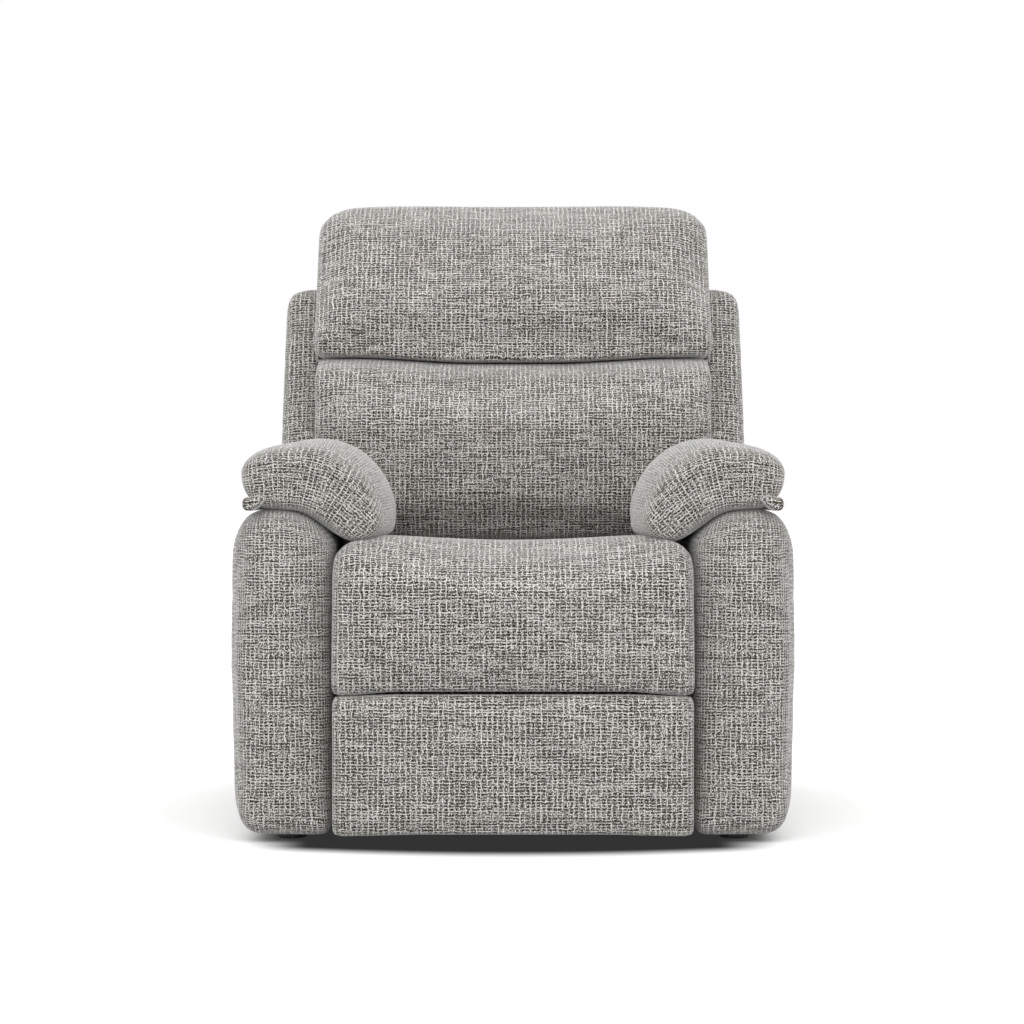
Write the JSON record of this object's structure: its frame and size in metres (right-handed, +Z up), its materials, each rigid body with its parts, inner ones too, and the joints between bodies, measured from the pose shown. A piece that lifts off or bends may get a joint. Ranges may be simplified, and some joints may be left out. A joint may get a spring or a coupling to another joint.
{
  "type": "recliner armchair",
  "caption": "Upholstered recliner armchair in grey basket weave, with arched arm pads, a two-cushion back and a footrest that swings out on scissor links",
  "frame": {"origin": "on the floor, under the middle of the chair", "axes": "+Z up, the chair faces -Y, +X to the left hand of the sitter"},
  "size_m": [0.9, 0.93, 1.08],
  "materials": {
    "upholstery": "chunky grey and off-white basket weave",
    "frame_wood": "plywood and sawn softwood, unfinished",
    "spring_wire": "drawn wire",
    "plated_steel": "zinc plated",
    "nylon": "natural nylon",
    "glide_plastic": "black plastic",
    "handle_plastic": "fine grain, satin",
    "cable_sheath": "black vinyl sheath",
    "painted_steel": "black paint"
  },
  "bodies": {
    "base": {"arm_body_left": "upholstery", "arm_body_right": "upholstery", "arm_bolts": "plated_steel", "arm_bottom_rails": "frame_wood", "arm_flap_left": "upholstery", "arm_flap_right": "upholstery", "arm_front_posts": "frame_wood", "arm_inner_panels": "frame_wood", "arm_outer_panels": "frame_wood", "arm_pad_left": "upholstery", "arm_pad_right": "upholstery", "arm_rear_posts": "frame_wood", "arm_top_boards": "frame_wood", "base_cross_rails": "frame_wood", "base_side_rails": "frame_wood", "floor_glides": "glide_plastic", "release_bezel": "handle_plastic", "release_cable": "cable_sheath", "slide_tracks": "painted_steel", "trip_bracket": "painted_steel"},
    "seat_carriage": {"back_hinge_pins": "plated_steel", "cross_tubes": "painted_steel", "plate_pins": "plated_steel", "seat_cushion": "upholstery", "seat_front_rail": "frame_wood", "seat_plates": "painted_steel", "seat_rear_rail": "frame_wood", "seat_side_rails": "frame_wood", "seat_spring_clips": "painted_steel", "seat_springs": "spring_wire", "slide_shoes": "nylon"},
    "backrest": {"back_brackets": "painted_steel", "back_cross_rails": "frame_wood", "back_posts": "frame_wood", "back_springs": "spring_wire", "back_stiles": "frame_wood", "back_wing_rails": "frame_wood", "head_cushion": "upholstery", "lumbar_cushion": "upholstery", "outer_back": "upholstery", "wing_left": "upholstery", "wing_right": "upholstery"},
    "front_links": {"drive_tube": "painted_steel", "front_link_left": "painted_steel", "front_link_pins": "plated_steel", "front_link_right": "painted_steel"},
    "rear_links": {"rear_link_left": "painted_steel", "rear_link_right": "painted_steel"},
    "lower_links": {"lower_link_left": "painted_steel", "lower_link_pins": "plated_steel", "lower_link_right": "painted_steel"},
    "upper_links": {"upper_link_left": "painted_steel", "upper_link_right": "painted_steel"},
    "footrest": {"footrest_board": "frame_wood", "footrest_brackets": "painted_steel", "footrest_pad": "upholstery", "footrest_pins": "plated_steel"},
    "release_lever": {"release_lever": "handle_plastic"},
    "trip_lever": {"trip_lever": "painted_steel"}
  },
  "joints": [
    {"name": "seat_slide", "type": "slide", "parent": "base", "child": "seat_carriage", "axis": [0, -1, 0], "range_m": [0, 0.045]},
    {"name": "recline", "type": "hinge", "parent": "seat_carriage", "child": "backrest", "pos_m": [0, 0.165, 0.3], "axis": [-1, 0, 0], "range_deg": [0, 28]},
    {"name": "footrest_swing", "type": "hinge", "parent": "seat_carriage", "child": "front_links", "pos_m": [0, -0.31, 0.228], "axis": [-1, 0, 0], "range_deg": [0, 93]},
    {"name": "rear_link_swing", "type": "hinge", "parent": "seat_carriage", "child": "rear_links", "pos_m": [0, -0.28, 0.216], "axis": [-1, 0, 0], "range_deg": [0, 93]},
    {"name": "lower_link_turn", "type": "hinge", "parent": "front_links", "child": "lower_links", "pos_m": [0, -0.25763, 0.04536], "axis": [-1, 0, 0], "range_deg": [-93, 0]},
    {"name": "upper_link_turn", "type": "hinge", "parent": "front_links", "child": "upper_links", "pos_m": [0, -0.26563, 0.09536], "axis": [-1, 0, 0], "range_deg": [-93, 0]},
    {"name": "footrest_turn", "type": "hinge", "parent": "lower_links", "child": "footrest", "pos_m": [0, -0.388, 0.17], "axis": [-1, 0, 0], "range_deg": [0, 93]},
    {"name": "release_pull", "type": "hinge", "parent": "base", "child": "release_lever", "pos_m": [0.4425, -0.12, 0.427], "axis": [0, -1, 0], "range_deg": [0, 25], "stiffness_Nm_per_rad": 0.6, "springref_deg": -8.59},
    {"name": "trip_pull", "type": "hinge", "parent": "base", "child": "trip_lever", "pos_m": [0.271, -0.12, 0.132], "axis": [0, 1, 0], "range_deg": [0, 12]}
  ],
  "couplings": [
    {"joint": "recline", "follows": "seat_slide", "rad_per_m": 10.859},
    {"joint": "rear_link_swing", "follows": "footrest_swing", "ratio": 1},
    {"joint": "lower_link_turn", "follows": "footrest_swing", "ratio": -1},
    {"joint": "upper_link_turn", "follows": "footrest_swing", "ratio": -1},
    {"joint": "footrest_turn", "follows": "footrest_swing", "ratio": 1},
    {"joint": "trip_pull", "follows": "release_pull", "ratio": 0.48}
  ]
}
